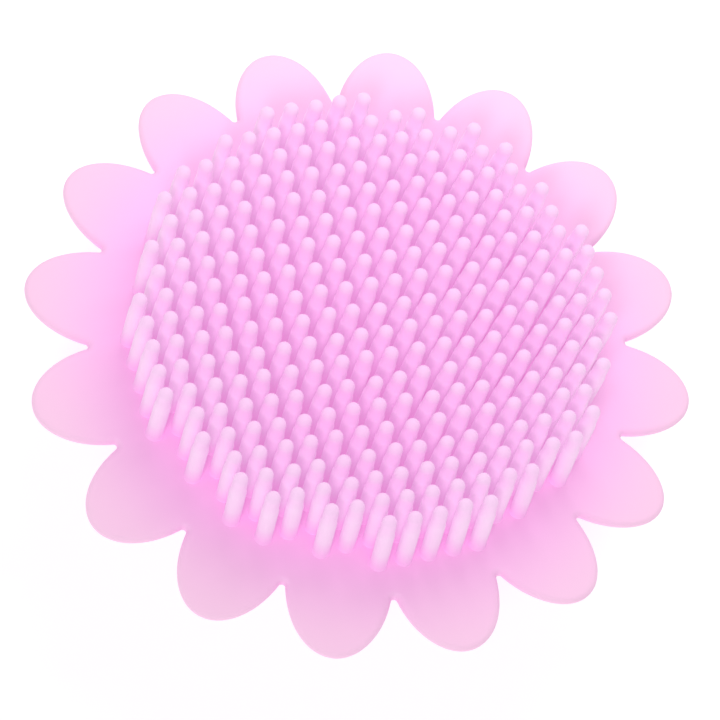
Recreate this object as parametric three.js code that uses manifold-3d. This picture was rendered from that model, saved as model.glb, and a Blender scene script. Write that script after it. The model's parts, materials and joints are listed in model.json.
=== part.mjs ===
// Facial cleansing brush in soft silicone: a flower-shaped sheet with a field of bristles on its
// face, sixteen petals that bend at their roots, and a suction cup on its back to hold it by.
//
// Millimetres, +Z up. The brush stands on the suction cup's rim, bristles up, with the origin in
// the middle of the rim. The first petal points along +X.

import * as THREE from 'three';
import { mergeVertices } from 'three/addons/utils/BufferGeometryUtils.js';
import Module from 'manifold-3d';

const wasm = await Module();
wasm.setup();

// Driving dimensions
const FLOWER_RADIUS = 32;
const PETALS = 16;
const SHEET_TOP = 17;
const SHEET_THICKNESS = 1.2;
const GAP = 0.3;

// Bristle field: a square grid, clipped to a circle, turned a little against the petals and
// standing a little off the flower's middle
const BRISTLE_HEIGHT = 8;
const BRISTLE_PITCH = 2.39;
const BRISTLE_FOOT_RADIUS = 0.8;
const BRISTLE_HEAD_RADIUS = 0.72;
const FIELD_RADIUS = 9.3 * BRISTLE_PITCH;
const FIELD_TURN = THREE.MathUtils.degToRad(-1.3);
const FIELD_MIDDLE = new THREE.Vector2(-0.2, -0.5);

// Petals: each is the outer part of an ellipse whose centre lies inside the flower
const PETAL_STEP = (2 * Math.PI) / PETALS;
const PETAL_CENTRE = 0.76 * FLOWER_RADIUS;
const PETAL_HALF_WIDTH = 0.153 * FLOWER_RADIUS;
const PETAL_ROOT = 0.79 * FLOWER_RADIUS;
const PETAL_TIP_THICKNESS = 0.8;

// Back of the flower, and the socket that holds the suction cup's button
const BACK_PLATE_RADIUS = 20.5;
const BACK_PLATE_THICKNESS = 1.5;
const BACK_PLATE_EDGE = 0.7;
const BOSS_RADIUS = 7.2;
const BOSS_BOTTOM = 10.8;
const SOCKET_RADIUS = 5.3;
const SOCKET_HEIGHT = 1.9;
const LIP_HEIGHT = 1.3;

// Suction cup, with a neck and a button in one piece
const CUP_RADIUS = 17;
const CUP_RIM_WIDTH = 1.2;
const CUP_RIM_HEIGHT = 0.6;
const CUP_EXTRA_WALL = 1.2;
const CUP_HOLLOW = 5.2;
const NECK_RADIUS = 3.4;
const NECK_FILLET = 2;

const ROUND_SEGMENTS = 48;

const sheetBottom = SHEET_TOP - SHEET_THICKNESS;
const backPlateTop = sheetBottom - GAP;
const backPlateBottom = backPlateTop - BACK_PLATE_THICKNESS;
const bossTop = backPlateBottom - GAP;
const lipTop = BOSS_BOTTOM + LIP_HEIGHT;
const socketTop = lipTop + SOCKET_HEIGHT;

// Colours: one silicone, a little paler where it is thin
const silicone = {
  bristles: 0xf4b4ec,
  petals: 0xf7c8ec,
  back: 0xf3b0e4,
  cup: 0xf1abe0,
};

function material(color) {
  return new THREE.MeshStandardMaterial({ color, roughness: 0.55, metalness: 0 });
}

// A closed geometry as a solid that can be joined and cut
function solid(geometry) {
  geometry.deleteAttribute('normal');
  geometry.deleteAttribute('uv');
  const merged = mergeVertices(geometry, 1e-4);
  return new wasm.Manifold(
    new wasm.Mesh({
      numProp: 3,
      vertProperties: new Float32Array(merged.attributes.position.array),
      triVerts: new Uint32Array(merged.index.array),
    }),
  );
}

function mesh(name, body, color) {
  const result = body.getMesh();
  const geometry = new THREE.BufferGeometry();
  geometry.setAttribute('position', new THREE.BufferAttribute(result.vertProperties, 3));
  geometry.setIndex(new THREE.BufferAttribute(result.triVerts, 1));
  geometry.computeVertexNormals();
  const piece = new THREE.Mesh(geometry, material(color));
  piece.name = name;
  return piece;
}

// A body of revolution about Z from [radius, height] points that start and end on the axis and
// run up the outside of the body
function turned(points, segments = ROUND_SEGMENTS) {
  const profile = points.map(([radius, height]) => new THREE.Vector2(radius, height));
  const geometry = new THREE.LatheGeometry(profile, segments);
  geometry.rotateX(Math.PI / 2);
  return geometry;
}

// A plate with the plan outline given, between two heights
function plate(shape, bottom, top) {
  const geometry = new THREE.ExtrudeGeometry(shape, { depth: top - bottom, bevelEnabled: false });
  geometry.translate(0, 0, bottom);
  return geometry;
}

// The sheet in the middle: a flat edge for every petal, and the bristles standing on it
function bristleDisc() {
  const edgeDistance = PETAL_ROOT - SHEET_THICKNESS / 2 - GAP;
  const cornerRadius = edgeDistance / Math.cos(PETAL_STEP / 2);
  const outline = new THREE.Shape();
  for (let k = 0; k < PETALS; k += 1) {
    const angle = (k + 0.5) * PETAL_STEP;
    const x = cornerRadius * Math.cos(angle);
    const y = cornerRadius * Math.sin(angle);
    if (k === 0) outline.moveTo(x, y);
    else outline.lineTo(x, y);
  }
  outline.closePath();
  const sheet = solid(plate(outline, sheetBottom, SHEET_TOP));

  const sides = 6;
  const sunk = 0.2;
  const dome = 0.5;
  const bristle = solid(
    turned(
      [
        [0, -sunk],
        [BRISTLE_FOOT_RADIUS, -sunk],
        [BRISTLE_HEAD_RADIUS, BRISTLE_HEIGHT - dome],
        [0, BRISTLE_HEIGHT],
      ],
      sides,
    ),
  );
  const reach = Math.floor(FIELD_RADIUS / BRISTLE_PITCH);
  const bristles = [];
  for (let row = -reach; row <= reach; row += 1) {
    for (let column = -reach; column <= reach; column += 1) {
      const place = new THREE.Vector2(column * BRISTLE_PITCH, row * BRISTLE_PITCH);
      if (place.length() > FIELD_RADIUS) continue;
      place.rotateAround(new THREE.Vector2(), FIELD_TURN).add(FIELD_MIDDLE);
      bristles.push(bristle.translate([place.x, place.y, SHEET_TOP]));
    }
  }
  return mesh('bristle_disc', wasm.Manifold.union([sheet, ...bristles]), silicone.bristles);
}

// One petal, pointing along +X. In plan its root runs between the flanks of the neighbouring
// petals. From the side its root is a half round about the hinge line, and it thins to the tip.
function petalSolid() {
  const reach = FLOWER_RADIUS - PETAL_CENTRE;
  const noseRadius = SHEET_THICKNESS / 2;
  const rootEnd = PETAL_ROOT - noseRadius;
  const flank = (x) => x * Math.tan(PETAL_STEP / 2) - GAP / 2 / Math.cos(PETAL_STEP / 2);
  const startAngle = Math.acos((PETAL_ROOT - PETAL_CENTRE) / reach);
  const curveSteps = 18;

  const plan = new THREE.Shape();
  plan.moveTo(rootEnd, flank(rootEnd));
  plan.lineTo(rootEnd, -flank(rootEnd));
  for (let k = 0; k <= curveSteps; k += 1) {
    const angle = -startAngle + (2 * startAngle * k) / curveSteps;
    const x = PETAL_CENTRE + reach * Math.cos(angle);
    const y = PETAL_HALF_WIDTH * Math.sin(angle);
    plan.lineTo(x, Math.sign(y) * Math.min(Math.abs(y), flank(x)));
  }
  plan.closePath();

  const tipRadius = PETAL_TIP_THICKNESS / 2;
  const side = new THREE.Shape();
  side.absarc(PETAL_ROOT, SHEET_TOP - noseRadius, noseRadius, Math.PI / 2, (3 * Math.PI) / 2);
  side.absarc(FLOWER_RADIUS - tipRadius, SHEET_TOP - tipRadius, tipRadius, -Math.PI / 2, Math.PI / 2);
  side.closePath();
  const width = 2 * PETAL_HALF_WIDTH + 2;
  const profile = new THREE.ExtrudeGeometry(side, { depth: width, bevelEnabled: false, curveSegments: 8 });
  profile.rotateX(Math.PI / 2);
  profile.translate(0, width / 2, 0);

  const margin = 1;
  return solid(plate(plan, sheetBottom - margin, SHEET_TOP + margin)).intersect(solid(profile));
}

function petals() {
  const body = petalSolid();
  return Array.from({ length: PETALS }, (_, k) => {
    const name = `petal_${String(k + 1).padStart(2, '0')}`;
    const piece = mesh(name, body, silicone.petals);
    piece.rotation.z = k * PETAL_STEP;
    return piece;
  });
}

// The thicker middle of the back, which keeps the bristles flat when they are pressed down
function backPlate() {
  const flatRadius = BOSS_RADIUS + 3;
  const body = turned([
    [0, backPlateBottom],
    [flatRadius, backPlateBottom],
    [BACK_PLATE_RADIUS, backPlateTop - BACK_PLATE_EDGE],
    [BACK_PLATE_RADIUS, backPlateTop],
    [0, backPlateTop],
  ]);
  return mesh('back_plate', solid(body), silicone.back);
}

// The boss on the back: a blind socket, with an undercut above the lip that holds the button in
function socketBoss() {
  const mouthRadius = NECK_RADIUS + GAP;
  const chamfer = 0.6;
  const outside = solid(
    turned([
      [0, BOSS_BOTTOM],
      [BOSS_RADIUS - chamfer, BOSS_BOTTOM],
      [BOSS_RADIUS, BOSS_BOTTOM + chamfer],
      [BOSS_RADIUS, bossTop],
      [0, bossTop],
    ]),
  );
  const below = 1;
  const socket = solid(
    turned([
      [0, BOSS_BOTTOM - below],
      [mouthRadius, BOSS_BOTTOM - below],
      [mouthRadius, lipTop],
      [SOCKET_RADIUS, lipTop],
      [SOCKET_RADIUS, socketTop],
      [0, socketTop],
    ]),
  );
  return mesh('socket_boss', outside.subtract(socket), silicone.back);
}

// The suction cup: a bell that thins to its rim, the neck that the fingers go round, and the
// button that snaps into the socket, all one moulding
function suctionCup() {
  const rimInner = CUP_RADIUS - CUP_RIM_WIDTH;
  const bellSteps = 8;

  // Under the bell: a parabola from the middle down to the flat rim, which it then follows outwards
  const underside = [];
  for (let k = 0; k <= bellSteps; k += 1) {
    const radius = (rimInner * k) / bellSteps;
    underside.push([radius, CUP_HOLLOW * (1 - (radius / rimInner) ** 2)]);
  }
  underside.push([CUP_RADIUS, 0]);

  // Over the bell: the same curve, lifted by a wall that thickens towards the neck
  const wall = (radius) => CUP_RIM_HEIGHT + CUP_EXTRA_WALL * (1 - radius / CUP_RADIUS);
  const bell = (radius) => CUP_HOLLOW * (1 - (radius / CUP_RADIUS) ** 2) + wall(radius);
  const filletFoot = NECK_RADIUS + NECK_FILLET;
  const outside = [];
  for (let k = 0; k <= bellSteps; k += 1) {
    const radius = CUP_RADIUS + ((filletFoot - CUP_RADIUS) * k) / bellSteps;
    outside.push([radius, bell(radius)]);
  }
  const filletSteps = 4;
  for (let k = 1; k <= filletSteps; k += 1) {
    const angle = (k / filletSteps) * (Math.PI / 2);
    const inwards = NECK_FILLET * Math.sin(angle);
    const upwards = NECK_FILLET * (1 - Math.cos(angle));
    outside.push([filletFoot - inwards, bell(filletFoot) + upwards]);
  }

  const buttonBottom = lipTop + GAP;
  const buttonTop = socketTop - GAP;
  const buttonRadius = SOCKET_RADIUS - GAP;
  const buttonEdge = 0.5;
  const button = [
    [NECK_RADIUS, buttonBottom],
    [buttonRadius, buttonBottom],
    [buttonRadius, buttonBottom + buttonEdge],
    [NECK_RADIUS, buttonTop],
    [0, buttonTop],
  ];
  const profile = [...underside, ...outside, ...button];
  return mesh('suction_cup', solid(turned(profile)), silicone.cup);
}

const brush = new THREE.Group();
brush.add(bristleDisc(), ...petals(), backPlate(), socketBoss(), suctionCup());

export default brush;
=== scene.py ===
"""Looks of the flower-shaped silicone facial cleansing brush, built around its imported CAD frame."""

import json
import math

import bpy
import numpy as np
from mathutils import Matrix, Vector


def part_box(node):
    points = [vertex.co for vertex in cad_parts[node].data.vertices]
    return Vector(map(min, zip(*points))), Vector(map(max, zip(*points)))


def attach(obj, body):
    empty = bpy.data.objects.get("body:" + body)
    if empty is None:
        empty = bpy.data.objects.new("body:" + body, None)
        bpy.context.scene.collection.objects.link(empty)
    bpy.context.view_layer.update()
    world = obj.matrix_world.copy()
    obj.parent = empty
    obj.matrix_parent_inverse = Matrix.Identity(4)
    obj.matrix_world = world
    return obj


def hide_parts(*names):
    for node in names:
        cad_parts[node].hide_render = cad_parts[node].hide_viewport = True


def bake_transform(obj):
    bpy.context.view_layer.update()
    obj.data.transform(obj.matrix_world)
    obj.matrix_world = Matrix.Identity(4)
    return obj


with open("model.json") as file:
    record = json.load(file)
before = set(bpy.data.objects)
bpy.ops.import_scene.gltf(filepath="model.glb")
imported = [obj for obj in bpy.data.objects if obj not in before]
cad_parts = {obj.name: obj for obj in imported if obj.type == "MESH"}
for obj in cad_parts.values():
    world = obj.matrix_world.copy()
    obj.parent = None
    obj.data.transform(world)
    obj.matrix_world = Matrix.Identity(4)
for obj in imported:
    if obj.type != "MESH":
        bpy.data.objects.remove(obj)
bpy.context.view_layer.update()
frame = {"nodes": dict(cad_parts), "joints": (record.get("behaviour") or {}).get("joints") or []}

MM = 0.001

# What the frame gives: heights, radii and the petals' hinge lines
joints = {j["name"]: j for j in frame["joints"]}
petal_names = sorted(n for n in frame["nodes"] if n.startswith("petal_"))
first_petal_low, first_petal_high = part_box("petal_01")
sheet_top = first_petal_high.z
sheet_bottom = first_petal_low.z
sheet_thickness = sheet_top - sheet_bottom
flower_radius = first_petal_high.x
bristle_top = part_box("bristle_disc")[1].z
petal_step = 2 * math.pi / len(petal_names)

# The petal's outline, as in the CAD: the outer part of an ellipse
PETAL_CENTRE = 0.76 * flower_radius
PETAL_HALF_WIDTH = 0.153 * flower_radius
PETAL_TIP_THICKNESS = 0.8 * MM
NOTCH_ROUNDING = 0.3 * MM
CENTRE_RADIUS = 20.3 * MM
petal_root = Vector(joints["petal_01_bend"]["pos_m"]).x

# The bristles' grid, as in the CAD
PITCH = 2.39 * MM
FIELD_RADIUS = 9.3 * PITCH
FIELD_TURN = math.radians(-1.3)
FIELD_MIDDLE = (-0.2 * MM, -0.5 * MM)
bristle_height = bristle_top - sheet_top
BRISTLE_SUNK = 0.15 * MM


# ---------------------------------------------------------------- camera, light and floor

def make_camera():
    azimuth = math.radians(-39.1)
    elevation = math.radians(61.7)
    roll = math.radians(24.4)
    distance = 9.50 * flower_radius
    look_at = Vector((-0.89, -1.79, 0)) * MM + Vector((0, 0, sheet_top))
    back = Vector((
        math.sin(azimuth) * math.cos(elevation),
        -math.cos(azimuth) * math.cos(elevation),
        math.sin(elevation),
    ))
    level = Vector((math.cos(azimuth), math.sin(azimuth), 0))
    steep = back.cross(level)
    right = level * math.cos(roll) + steep * math.sin(roll)
    up = back.cross(right)
    camera = bpy.data.objects.new("camera", bpy.data.cameras.new("camera"))
    bpy.context.scene.collection.objects.link(camera)
    camera.matrix_world = Matrix.Translation(look_at + back * distance) @ Matrix(
        (right, up, back)
    ).transposed().to_4x4()
    camera.data.sensor_width = 36
    camera.data.lens = 162.6
    camera.data.clip_start = 0.01
    camera.data.clip_end = 20
    bpy.context.scene.camera = camera


def make_light(name, place, size, power, aim=(0, 0, 0.01), spread=math.pi):
    data = bpy.data.lights.new(name, "AREA")
    data.shape = "DISK"
    data.size = size
    data.energy = power
    data.spread = spread
    light = bpy.data.objects.new(name, data)
    bpy.context.scene.collection.objects.link(light)
    light.location = place
    light.visible_camera = False
    light.rotation_mode = "QUATERNION"
    light.rotation_quaternion = (Vector(place) - Vector(aim)).to_track_quat("Z", "Y")


def make_studio():
    world = bpy.data.worlds.new("studio")
    bpy.context.scene.world = world
    world.use_nodes = True
    background = world.node_tree.nodes["Background"]
    background.inputs["Color"].default_value = (1, 1, 1, 1)
    background.inputs["Strength"].default_value = 0.47
    # A grid on the front softbox leaves its light strongest on the flower's far side
    make_light(
        "softbox_front",
        place=(-0.30, -0.36, 0.55),
        size=0.20,
        power=0.095,
        aim=(0.045, 0.055, 0.01),
        spread=math.radians(40),
    )
    make_light("softbox_far", place=(0.045, 0.08, 0.125), size=0.12, power=0.090)
    bpy.context.scene.view_settings.view_transform = "Standard"


def make_floor():
    """A wide round floor whose edge curves up, so that low views see no end to it."""
    flat_radius = 2.4
    cove_radius = 0.5
    segments = 96
    steps = 12
    profile = [(flat_radius, 0)]
    for k in range(1, steps + 1):
        angle = math.pi / 2 * k / steps
        profile.append((
            flat_radius + cove_radius * math.sin(angle),
            cove_radius * (1 - math.cos(angle)),
        ))
    points = []
    for r, z in profile:
        for k in range(segments):
            angle = 2 * math.pi * k / segments
            points.append((r * math.cos(angle), r * math.sin(angle), z))
    faces = [tuple(range(segments))]
    for level in range(steps):
        low = level * segments
        high = low + segments
        for k in range(segments):
            n = (k + 1) % segments
            faces.append((low + k, high + k, high + n, low + n))
    mesh = bpy.data.meshes.new("floor")
    mesh.from_pydata(points, [], faces)
    mesh.polygons.foreach_set("use_smooth", [True] * len(faces))
    floor = bpy.data.objects.new("floor", mesh)
    bpy.context.scene.collection.objects.link(floor)
    floor_material = bpy.data.materials.new("floor")
    floor_material.use_nodes = True
    mesh.materials.append(floor_material)
    shader = floor_material.node_tree.nodes["Principled BSDF"]
    shader.inputs["Base Color"].default_value = (0.60, 0.60, 0.60, 1)
    shader.inputs["Roughness"].default_value = 0.9
    # Lit from below as a light table is, so that its shadows stay faint
    shader.inputs["Emission Color"].default_value = (1, 1, 1, 1)
    shader.inputs["Emission Strength"].default_value = 0.55


# ---------------------------------------------------------------- silicone

# On the flower's sheet the deep pink is painted shade among the bristles and the petal pink painted
# light towards the petals' tips
deep_pink = (0.96, 0.49, 0.84)
petal_pink = (0.94, 0.585, 0.80)
# The bristles' foot pink is painted shade at their feet and heads, and their pale pink painted light
# at the field's rim
bristle_shade_pink = (0.89, 0.43, 0.79)
bristle_body_pink = (0.84, 0.54, 0.79)
bristle_lit_pink = (0.85, 0.67, 0.82)


def silicone(name, colours, roughness=0.5, glow=0.08):
    """Soft translucent silicone. The mesh's tone attribute runs through the colours, from 0 at
    the first to 1 at the last.

    The glow stands for the light that real silicone passes on from bristle to bristle."""
    clouding = 0.07
    patchiness = 0.06
    material = bpy.data.materials.new(name)
    material.use_nodes = True
    nodes = material.node_tree.nodes
    links = material.node_tree.links
    shader = nodes["Principled BSDF"]
    shader.inputs["IOR"].default_value = 1.41
    shader.inputs["Specular IOR Level"].default_value = 0.25
    shader.inputs["Emission Color"].default_value = (0.93, 0.73, 0.94, 1)
    shader.inputs["Emission Strength"].default_value = glow
    shader.inputs["Sheen Weight"].default_value = 0.05
    shader.inputs["Sheen Roughness"].default_value = 0.4

    place = nodes.new("ShaderNodeTexCoord")
    tone = nodes.new("ShaderNodeAttribute")
    tone.attribute_name = "tone"

    # Clouding in the silicone: a slow change of tone over some millimetres
    cloud = nodes.new("ShaderNodeTexNoise")
    cloud.inputs["Scale"].default_value = 130
    cloud.inputs["Detail"].default_value = 3
    links.new(place.outputs["Object"], cloud.inputs["Vector"])
    cloud_share = nodes.new("ShaderNodeMapRange")
    cloud_share.inputs["From Min"].default_value = 0.3
    cloud_share.inputs["From Max"].default_value = 0.7
    cloud_share.inputs["To Min"].default_value = -clouding
    cloud_share.inputs["To Max"].default_value = clouding
    links.new(cloud.outputs["Fac"], cloud_share.inputs["Value"])
    shade = nodes.new("ShaderNodeMath")
    shade.operation = "ADD"
    shade.use_clamp = True
    links.new(tone.outputs["Fac"], shade.inputs[0])
    links.new(cloud_share.outputs["Result"], shade.inputs[1])
    ramp = nodes.new("ShaderNodeValToRGB")
    stops = ramp.color_ramp.elements
    while len(stops) < len(colours):
        stops.new(0.5)
    for k, colour in enumerate(colours):
        stops[k].position = k / (len(colours) - 1)
        stops[k].color = (*colour, 1)
    links.new(shade.outputs["Value"], ramp.inputs["Fac"])
    links.new(ramp.outputs["Color"], shader.inputs["Base Color"])

    # Satin skin: the fine grain of a blasted mould
    grain = nodes.new("ShaderNodeTexNoise")
    grain.inputs["Scale"].default_value = 5500
    grain.inputs["Detail"].default_value = 2
    links.new(place.outputs["Object"], grain.inputs["Vector"])
    gloss = nodes.new("ShaderNodeMapRange")
    gloss.inputs["To Min"].default_value = roughness - patchiness
    gloss.inputs["To Max"].default_value = roughness + patchiness
    links.new(cloud.outputs["Fac"], gloss.inputs["Value"])
    links.new(gloss.outputs["Result"], shader.inputs["Roughness"])
    bump = nodes.new("ShaderNodeBump")
    bump.inputs["Strength"].default_value = 0.12
    bump.inputs["Distance"].default_value = 0.02 * MM
    links.new(grain.outputs["Fac"], bump.inputs["Height"])
    links.new(bump.outputs["Normal"], shader.inputs["Normal"])
    return material


# ---------------------------------------------------------------- mesh helpers

def smooth_step(x, low, high):
    """0 below low, 1 above high, and a smooth rise between them."""
    t = np.clip((np.asarray(x, float) - low) / (high - low), 0, 1)
    return t * t * (3 - 2 * t)


def make_piece(name, points, faces, tones, material, sharp=math.radians(50)):
    mesh = bpy.data.meshes.new(name)
    mesh.from_pydata([tuple(p) for p in points], [], faces)
    attribute = mesh.attributes.new("tone", "FLOAT", "POINT")
    attribute.data.foreach_set("value", np.asarray(tones, np.float32))
    piece = bpy.data.objects.new(name, mesh)
    bpy.context.scene.collection.objects.link(piece)
    mesh.materials.append(material)
    mesh.polygons.foreach_set("use_smooth", [True] * len(mesh.polygons))
    mesh.set_sharp_from_angle(angle=sharp)
    mesh.validate()
    mesh.update()
    return piece


def rounded_profile(corners, steps=6):
    """(radius, height) points from corners given as (radius, height, rounding)."""
    just_under_half = 0.499
    points = []
    count = len(corners)
    for k, (r, z, rounding) in enumerate(corners):
        here = Vector((r, z))
        if rounding == 0 or k in (0, count - 1):
            points.append(here)
            continue
        before = Vector(corners[k - 1][:2]) - here
        after = Vector(corners[k + 1][:2]) - here
        half = before.angle(after) / 2
        longest = just_under_half * min(before.length, after.length)
        cut = min(rounding / math.tan(half), longest)
        start = here + before.normalized() * cut
        end = here + after.normalized() * cut
        for i in range(steps + 1):
            t = i / steps
            points.append(start * (1 - t) ** 2 + here * 2 * t * (1 - t) + end * t * t)
    return points


def turned_piece(name, profile, tone, material, segments=160, bowed=False):
    """A body of revolution about Z. The profile starts and ends on the axis."""
    points = []
    tones = []
    faces = []
    rings = []
    for r, z in profile:
        if r == 0:
            rings.append([len(points)])
            points.append((0, 0, z))
            tones.append(tone(0, z))
            continue
        start = len(points)
        rings.append(list(range(start, start + segments)))
        for k in range(segments):
            angle = 2 * math.pi * k / segments
            points.append((r * math.cos(angle), r * math.sin(angle), z))
            tones.append(tone(r, z))
    for low, high in zip(rings, rings[1:]):
        for k in range(segments):
            n = (k + 1) % segments
            if len(low) == 1 and len(high) > 1:
                faces.append((low[0], high[n], high[k]))
            elif len(high) == 1 and len(low) > 1:
                faces.append((low[k], low[n], high[0]))
            elif len(low) > 1:
                faces.append((low[k], low[n], high[n], high[k]))
    if bowed:
        points = bow(points)
    return make_piece(name, points, faces, tones, material)


# ---------------------------------------------------------------- how the soft flower bows

# Each wave of the bow: its rise at the petals' tips, the direction of the rise, how many times it
# rises round the flower, and the power of the radius that it grows with
BOW_WAVES = (
    (0.51 * MM, math.radians(-51), 1, 3),
    (0.53 * MM, math.radians(90), 2, 2),
    (0.71 * MM, math.radians(42), 3, 3),
)


def bow_height(x, y):
    share = np.hypot(x, y) / flower_radius
    angle = np.arctan2(y, x)
    return sum(
        rise * share ** power * np.cos(waves * (angle - direction))
        for rise, direction, waves, power in BOW_WAVES
    )


def bow(points):
    """The points bent with the sheet, staying square to it."""
    points = np.array(points, float)
    x, y = points[:, 0], points[:, 1]
    step = 0.05 * MM
    slope_x = (bow_height(x + step, y) - bow_height(x - step, y)) / (2 * step)
    slope_y = (bow_height(x, y + step) - bow_height(x, y - step)) / (2 * step)
    above = points[:, 2] - sheet_top
    bent = points.copy()
    bent[:, 0] -= slope_x * above
    bent[:, 1] -= slope_y * above
    bent[:, 2] += bow_height(x, y)
    return bent


# ---------------------------------------------------------------- flower

def petal_outline():
    """One side of a petal's wedge, from the middle of its inner edge to its tip, in plan.

    Returns the points, their outward normals, and 1 where the edge is rounded or 0 where the
    wedge meets its neighbour."""
    half = petal_step / 2
    seam = np.array((math.cos(half), math.sin(half)))
    seam_out = np.array((-math.sin(half), math.cos(half)))
    reach = flower_radius - PETAL_CENTRE

    def on_petal(angle):
        return np.array((PETAL_CENTRE + reach * math.cos(angle), PETAL_HALF_WIDTH * math.sin(angle)))

    def petal_normal(angle):
        n = np.array((math.cos(angle) / reach, math.sin(angle) / PETAL_HALF_WIDTH))
        return n / np.linalg.norm(n)

    # The notch: a small arc that touches both petals, with its middle on the seam's line. It is
    # found by halving the stretch of the seam in which the flank is just its rounding away.
    flank_start = 0.3
    flank_points = 600
    halvings = 40
    overlap_end = PETAL_CENTRE * 1.02
    angles = np.linspace(flank_start, math.pi / 2 + flank_start, flank_points)
    flank = np.array([on_petal(a) for a in angles])
    crosses_seam = (flank[:, 1] > np.tan(half) * flank[:, 0]).any()
    near, far = PETAL_CENTRE, flower_radius
    for _ in range(halvings):
        middle = (near + far) / 2
        gap = np.linalg.norm(flank - seam * middle, axis=1).min()
        if gap < NOTCH_ROUNDING or (crosses_seam and middle < overlap_end):
            near = middle
        else:
            far = middle
    notch_middle = seam * near
    touch = angles[np.linalg.norm(flank - notch_middle, axis=1).argmin()]
    notch_radius = near - NOTCH_ROUNDING

    points = []
    normals = []
    rounded = []
    inner_steps = 9
    for k in range(inner_steps):
        angle = half * k / inner_steps
        points.append(CENTRE_RADIUS * np.array((math.cos(angle), math.sin(angle))))
        normals.append(-points[-1] / CENTRE_RADIUS)
        rounded.append(0)
    seam_steps = 14
    seam_length = notch_radius - sheet_thickness / 2 - CENTRE_RADIUS
    for k in range(seam_steps + 1):
        points.append(seam * (CENTRE_RADIUS + seam_length * k / seam_steps))
        normals.append(seam_out)
        rounded.append(0)
    touch_direction = (on_petal(touch) - notch_middle) / NOTCH_ROUNDING
    start_angle = math.atan2(-seam[1], -seam[0])
    end_angle = math.atan2(touch_direction[1], touch_direction[0])
    turn = (end_angle - start_angle) % (2 * math.pi)
    notch_steps = 6
    for k in range(notch_steps + 1):
        angle = start_angle + turn * k / notch_steps
        direction = np.array((math.cos(angle), math.sin(angle)))
        points.append(notch_middle + direction * NOTCH_ROUNDING)
        normals.append(-direction)
        rounded.append(1)
    flank_steps = 34
    for k in range(1, flank_steps + 1):
        angle = touch * (1 - k / flank_steps)
        points.append(on_petal(angle))
        normals.append(petal_normal(angle))
        rounded.append(1)
    return np.array(points), np.array(normals), np.array(rounded)


def local_thickness(radius):
    """The sheet's thickness, which falls from the petals' roots to their tips."""
    share = smooth_step(radius, petal_root, flower_radius)
    return sheet_thickness + (PETAL_TIP_THICKNESS - sheet_thickness) * share


def sheet_shade_and_light_tone(radius):
    """Deep among the bristles, as painted shade, and paler towards the petals' tips, as painted
    light coming through the thin silicone there.
    """
    shade_radius = 22 * MM
    return smooth_step(radius, shade_radius, flower_radius)


def petal_mesh():
    """The wedge along +X as points and faces. Its outline runs clockwise seen from above."""
    side, side_normals, side_rounded = petal_outline()
    mirror = np.array((1, -1))
    outline = np.vstack((side, (side * mirror)[-2:0:-1]))
    normals = np.vstack((side_normals, (side_normals * mirror)[-2:0:-1]))
    rounded = np.concatenate((side_rounded, side_rounded[-2:0:-1]))
    count = len(outline)
    edge = local_thickness(np.hypot(outline[:, 0], outline[:, 1])) / 2
    inset = outline - normals * (edge * rounded)[:, None]
    centre = np.array((PETAL_CENTRE, 0))
    face_rings = 20
    edge_steps = 8
    points = []
    faces = []

    def add_ring(plan, height):
        start = len(points)
        points.extend(np.column_stack((plan, height)))
        return range(start, start + count)

    def top(plan):
        return np.full(len(plan), sheet_top)

    def bottom(plan):
        return sheet_top - local_thickness(np.hypot(plan[:, 0], plan[:, 1]))

    rings = []
    points.append((centre[0], centre[1], sheet_top))
    for k in range(1, face_rings + 1):
        plan = centre + (inset - centre) * (k / face_rings)
        rings.append(add_ring(plan, top(plan)))
    for k in range(1, edge_steps):
        angle = math.pi / 2 - math.pi * k / edge_steps
        out = edge * rounded * math.cos(angle)
        plan = inset + normals * out[:, None]
        rings.append(add_ring(plan, sheet_top - edge + edge * math.sin(angle)))
    for k in range(face_rings, 0, -1):
        plan = centre + (inset - centre) * (k / face_rings)
        rings.append(add_ring(plan, bottom(plan)))
    last = len(points)
    points.append((centre[0], centre[1], bottom(centre[None])[0]))

    first = rings[0]
    for k in range(count):
        faces.append((0, first[(k + 1) % count], first[k]))
    for upper, lower in zip(rings, rings[1:]):
        for k in range(count):
            n = (k + 1) % count
            faces.append((upper[k], upper[n], lower[n], lower[k]))
    final = rings[-1]
    for k in range(count):
        faces.append((last, final[k], final[(k + 1) % count]))
    return np.array(points, float), faces


def make_petals(material):
    points, faces = petal_mesh()
    radius = np.hypot(points[:, 0], points[:, 1])
    # Painted shade among the bristles, painted light towards the petals' tips
    tones = sheet_shade_and_light_tone(radius)
    for k, name in enumerate(petal_names):
        angle = k * petal_step
        c, s = math.cos(angle), math.sin(angle)
        placed = points.copy()
        placed[:, 0] = points[:, 0] * c - points[:, 1] * s
        placed[:, 1] = points[:, 0] * s + points[:, 1] * c
        piece = make_piece(f"{name}_skin", bow(placed), faces, tones, material)
        hinge = Vector(joints[f"{name}_bend"]["pos_m"])
        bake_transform(piece)
        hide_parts(name)


def make_centre(material):
    profile = [(0, sheet_bottom)]
    rings = 12
    for k in range(1, rings + 1):
        profile.append((CENTRE_RADIUS * k / rings, sheet_bottom))
    for k in range(rings, -1, -1):
        profile.append((CENTRE_RADIUS * k / rings, sheet_top))
    # The centre lies among the bristles and takes the painted shade all over
    piece = turned_piece("flower_centre", profile, lambda r, z: sheet_shade_and_light_tone(r), material, bowed=True)
    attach(piece, "flower")


# ---------------------------------------------------------------- bristles

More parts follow.
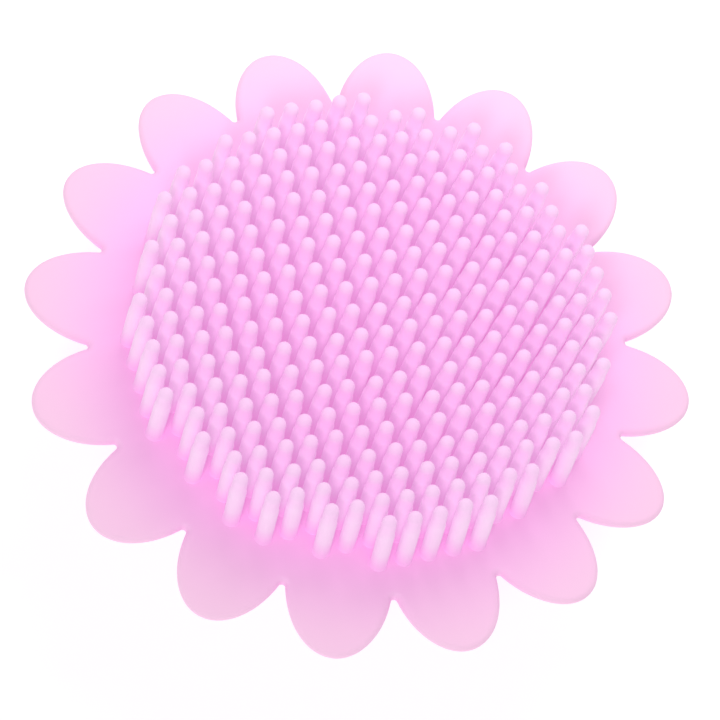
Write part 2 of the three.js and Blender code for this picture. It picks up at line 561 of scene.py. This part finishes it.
def bristle_profile():
    """(radius, height) from the foot, a little below the sheet's face, to the domed tip."""
    foot = 0.80 * MM
    head = 0.70 * MM
    head_base = head + 0.02 * MM
    shoulder = bristle_height - 2.7 * MM
    shoulder_length = 0.5 * MM
    shoulder_steps = 5
    dome_start = bristle_height - head
    dome_steps = 7
    # A small fillet where the bristle stands on the sheet
    profile = [
        (foot + 0.08 * MM, -BRISTLE_SUNK),
        (foot + 0.08 * MM, 0),
        (foot + 0.04 * MM, 0.06 * MM),
        (foot + 0.01 * MM, 0.16 * MM),
        (foot, 0.4 * MM),
    ]
    profile.append((foot, shoulder / 2))
    for k in range(shoulder_steps + 1):
        t = k / shoulder_steps
        share = float(smooth_step(t, 0, 1))
        profile.append((foot + (head_base - foot) * share, shoulder + shoulder_length * t))
    profile.append((head, dome_start - 0.3 * MM))
    for k in range(dome_steps):
        angle = math.pi / 2 * k / dome_steps
        profile.append((head * math.cos(angle), dome_start + head * math.sin(angle)))
    return profile


def bristle_tone(share, rim):
    """0 at the foot, 0.5 along the body and 0.25 at the head. The deep foot is painted shade among
    the bristles, and the head is painted deeper because it catches more light.

    At the field's rim, where rim is 1, it pales sooner and further, as painted light, because
    light comes in from the side too: 0.7 along the body and 0.45 at the head."""
    body_tone = 0.5 + 0.2 * rim
    head_shade_drop = 0.25
    paled = 0.45 - 0.20 * rim
    body = float(smooth_step(share, 0, paled))
    head = float(smooth_step(share, 0.6, 0.95))
    return body_tone * body - head_shade_drop * head


def bristle_places():
    """Where the bristles' feet stand: a square grid clipped to a circle."""
    reach = int(FIELD_RADIUS / PITCH)
    c, s = math.cos(FIELD_TURN), math.sin(FIELD_TURN)
    for row in range(-reach, reach + 1):
        for column in range(-reach, reach + 1):
            x, y = column * PITCH, row * PITCH
            if math.hypot(x, y) <= FIELD_RADIUS:
                yield FIELD_MIDDLE[0] + x * c - y * s, FIELD_MIDDLE[1] + x * s + y * c


def bristle_lean(x, y):
    """How far a bristle's tip stands from over its foot: they splay and swirl a little from the
    middle, the rim's are drawn back in, and the whole field combs one way."""
    combed = np.array((0.15, 0.47)) * MM
    splay = 0.57 * MM
    swirl = 0.14 * MM
    drawn_in = 0.70 * MM
    across = np.array((x, y)) / FIELD_RADIUS
    round_about = np.array((across[1], -across[0]))
    rim = across @ across
    return combed + splay * across + swirl * round_about - drawn_in * across * rim


def make_bristles(material):
    random = np.random.default_rng(7)
    stray = 0.10 * MM
    curl = 1.3
    rim_start = 0.5 * FIELD_RADIUS
    profile = bristle_profile()
    rings = len(profile)
    sides = 16
    points = []
    faces = []
    tones = []
    ring = np.linspace(0, 2 * math.pi, sides, endpoint=False)
    circle = np.column_stack((np.cos(ring), np.sin(ring)))
    for x, y in bristle_places():
        # Each bristle also stands a little out of true by chance
        lean = bristle_lean(x, y) + random.normal(0, stray, 2)
        # Painted light: the bristles pale towards the field's rim
        rim = float(smooth_step(math.hypot(x, y), rim_start, FIELD_RADIUS))
        start = len(points)
        for r, z in profile:
            share = max(z, 0) / bristle_height
            middle = np.array((x, y)) + lean * share ** curl
            plan = middle + circle * r
            points.extend(np.column_stack((plan, np.full(sides, sheet_top + z))))
            tones.extend([bristle_tone(share, rim)] * sides)
        tip = np.array((x, y)) + lean
        points.append((tip[0], tip[1], sheet_top + bristle_height))
        tones.append(bristle_tone(1, rim))
        points.append((x, y, sheet_top - BRISTLE_SUNK))
        tones.append(bristle_tone(0, rim))
        top_index = len(points) - 2
        foot_index = len(points) - 1
        for k in range(sides):
            n = (k + 1) % sides
            faces.append((foot_index, start + n, start + k))
            for level in range(rings - 1):
                low = start + level * sides
                high = low + sides
                faces.append((low + k, low + n, high + n, high + k))
            high = start + (rings - 1) * sides
            faces.append((high + k, high + n, top_index))
    piece = make_piece("bristles", bow(points), faces, tones, material, sharp=math.radians(80))
    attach(piece, "flower")
    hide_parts("bristle_disc")


# ---------------------------------------------------------------- back and suction cup

def make_back_plate(material):
    low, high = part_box("back_plate")
    radius = high.x
    flat_radius = 10.2 * MM
    edge = 0.7 * MM
    profile = rounded_profile([
        (0, low.z, 0),
        (flat_radius, low.z, 4 * MM),
        (radius, high.z - edge, edge / 2),
        (radius, sheet_bottom, 0),
        (0, sheet_bottom, 0),
    ])
    piece = turned_piece("back_plate_skin", profile, lambda r, z: 0.35, material, bowed=True)
    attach(piece, "flower")
    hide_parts("back_plate")


def make_boss(material):
    low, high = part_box("socket_boss")
    plate_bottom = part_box("back_plate")[0].z
    mouth = 3.7 * MM
    socket = 5.3 * MM
    lip_top = low.z + 1.3 * MM
    socket_top = lip_top + 1.9 * MM
    profile = rounded_profile([
        (0, socket_top, 0),
        (socket, socket_top, 0.3 * MM),
        (socket, lip_top, 0.2 * MM),
        (mouth, lip_top, 0.2 * MM),
        (mouth, low.z, 0.45 * MM),
        (high.x, low.z, 0.7 * MM),
        (high.x, plate_bottom, 0),
        (0, plate_bottom, 0),
    ])
    piece = turned_piece("socket_boss_skin", profile, lambda r, z: 0.25, material, segments=96)
    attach(piece, "flower")
    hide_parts("socket_boss")


def make_cup(material):
    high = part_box("suction_cup")[1]
    cup_radius = high.x
    rim_width = 1.2 * MM
    rim_height = 0.6 * MM
    extra_wall = 1.2 * MM
    hollow_height = 5.2 * MM
    neck = 3.4 * MM
    neck_fillet = 2.0 * MM
    button = 5.0 * MM
    button_low = 12.4 * MM
    button_edge = 0.45 * MM
    rounding = 0.3 * MM
    chamfer = 0.1 * MM
    bell_steps = 28
    rounding_steps = 6
    fillet_steps = 8

    def bell(r):
        wall = rim_height + extra_wall * (1 - r / cup_radius)
        return hollow_height * (1 - (r / cup_radius) ** 2) + wall

    def tone(r, z):
        return 0.35 + 0.5 * float(smooth_step(r, 6 * MM, cup_radius))

    # Under the bell, and round the rim that the cup stands on
    inner = cup_radius - rim_width
    profile = []
    for k in range(bell_steps):
        r = inner * k / bell_steps
        profile.append((r, hollow_height * (1 - (r / inner) ** 2)))
    profile += [
        (inner - 0.05 * MM, 0.02 * MM),
        (inner + 0.15 * MM, 0),
        (cup_radius - rounding, 0),
    ]
    for k in range(1, rounding_steps + 1):
        angle = math.pi / 2 * k / rounding_steps
        profile.append((
            cup_radius - rounding + rounding * math.sin(angle),
            rounding - rounding * math.cos(angle),
        ))
    profile.append((cup_radius - 0.05 * MM, 0.52 * MM))

    # Over the bell, up the neck, and round the button
    foot = neck + neck_fillet
    for k in range(1, bell_steps + 1):
        r = cup_radius + (foot - cup_radius) * k / bell_steps
        profile.append((r, bell(r)))
    for k in range(1, fillet_steps + 1):
        angle = math.pi / 2 * k / fillet_steps
        profile.append((
            foot - neck_fillet * math.sin(angle),
            bell(foot) + neck_fillet * (1 - math.cos(angle)),
        ))
    profile += [
        (neck, button_low - chamfer),
        (neck + chamfer, button_low),
        (button - chamfer, button_low),
        (button, button_low + chamfer),
        (button, button_low + button_edge),
        (neck, high.z),
        (0, high.z),
    ]
    piece = turned_piece("suction_cup_skin", profile, tone, material, segments=128)
    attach(piece, "cup")
    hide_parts("suction_cup")


# ---------------------------------------------------------------- everything

make_camera()
make_studio()
make_floor()

bristle_silicone = silicone(
    "silicone_bristles", (bristle_shade_pink, bristle_body_pink, bristle_lit_pink), glow=0.19
)
petal_silicone = silicone("silicone_petals", (deep_pink, petal_pink))
back_silicone = silicone("silicone_back", (deep_pink, petal_pink), roughness=0.45)
cup_silicone = silicone("silicone_cup", (deep_pink, petal_pink), roughness=0.4)

make_bristles(bristle_silicone)
make_centre(petal_silicone)
make_petals(petal_silicone)
make_back_plate(back_silicone)
make_boss(back_silicone)
make_cup(cup_silicone)
